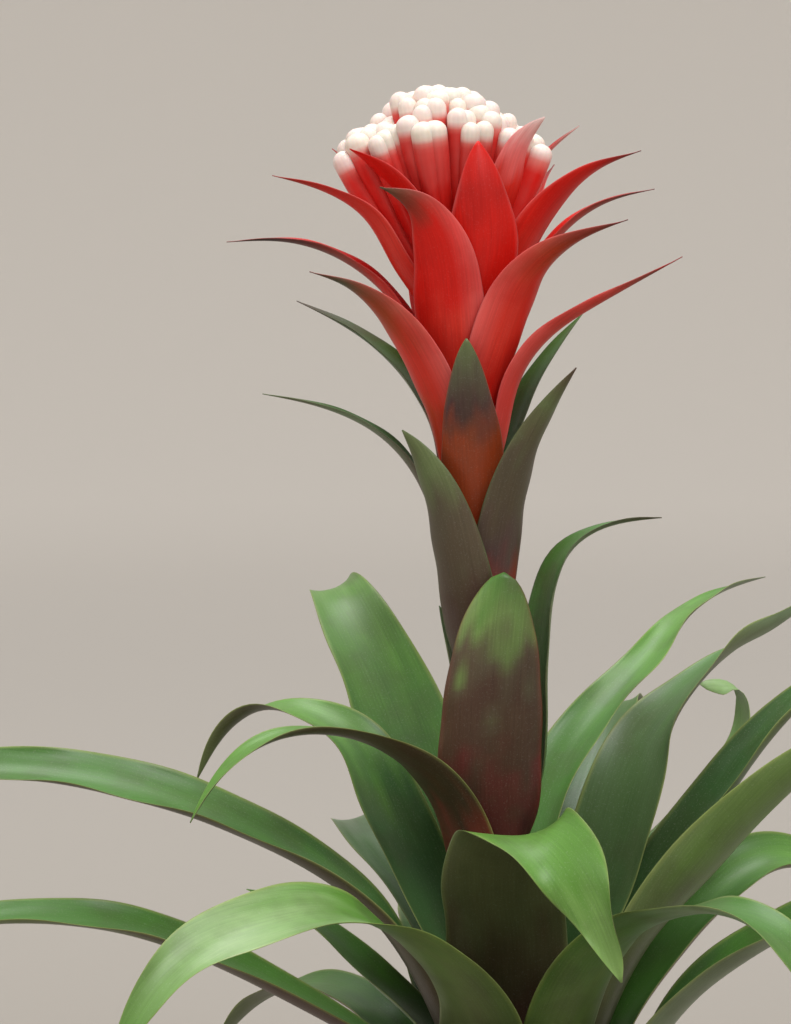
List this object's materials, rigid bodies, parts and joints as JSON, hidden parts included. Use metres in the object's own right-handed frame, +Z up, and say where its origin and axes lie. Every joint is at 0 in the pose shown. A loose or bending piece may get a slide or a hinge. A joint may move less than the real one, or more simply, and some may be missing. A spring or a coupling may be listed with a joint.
{
  "type": "potted bromeliad",
  "caption": "Bromeliad in a round clay pot: arching green strap leaves and a leaning flower stalk with a head of red bracts tipped with pale florets.",
  "frame": {"origin": "centre of the pot's flat underside, where it rests", "axes": "+Z up along the pot's axis, -Y towards the plant's front, and the flower stalk leans towards -X"},
  "size_m": [0.4517, 0.4577, 0.5443],
  "materials": {
    "clay": "matte",
    "soil": "matte",
    "stem": "satin",
    "leaf": "satin",
    "green_bract": "satin",
    "red_bract": "satin",
    "floret": "satin"
  },
  "bodies": {
    "root": {"pot": "clay", "soil": "soil", "crown": "stem", "flower_stalk": "stem", "leaf_01": "leaf", "leaf_02": "leaf", "leaf_03": "leaf", "leaf_04": "leaf", "leaf_05": "leaf", "leaf_06": "leaf", "leaf_07": "leaf", "leaf_08": "leaf", "leaf_09": "leaf", "leaf_10": "leaf", "leaf_11": "leaf", "leaf_12": "leaf", "leaf_13": "leaf", "leaf_14": "leaf", "leaf_15": "leaf", "leaf_16": "leaf", "leaf_17": "leaf", "leaf_18": "leaf", "leaf_19": "leaf", "leaf_20": "leaf", "leaf_21": "leaf", "leaf_22": "leaf", "leaf_23": "leaf", "stalk_bract_01": "green_bract", "stalk_bract_02": "green_bract", "stalk_bract_03": "green_bract", "stalk_bract_04": "green_bract", "stalk_bract_05": "green_bract", "stalk_bract_06": "green_bract", "stalk_bract_07": "green_bract", "stalk_bract_08": "green_bract", "stalk_bract_09": "green_bract", "stalk_bract_10": "green_bract", "head_bract_01": "red_bract", "head_bract_02": "red_bract", "head_bract_03": "red_bract", "head_bract_04": "red_bract", "head_bract_05": "red_bract", "head_bract_06": "red_bract", "head_bract_07": "red_bract", "head_bract_08": "red_bract", "head_bract_09": "red_bract", "head_bract_10": "red_bract", "head_bract_11": "red_bract", "head_bract_12": "red_bract", "head_bract_13": "red_bract", "head_bract_14": "red_bract", "head_bract_15": "red_bract", "head_bract_16": "red_bract", "head_bract_17": "red_bract", "head_bract_18": "red_bract", "head_bract_19": "red_bract", "head_bract_20": "red_bract", "flower_cluster": "floret"}
  },
  "joints": []
}
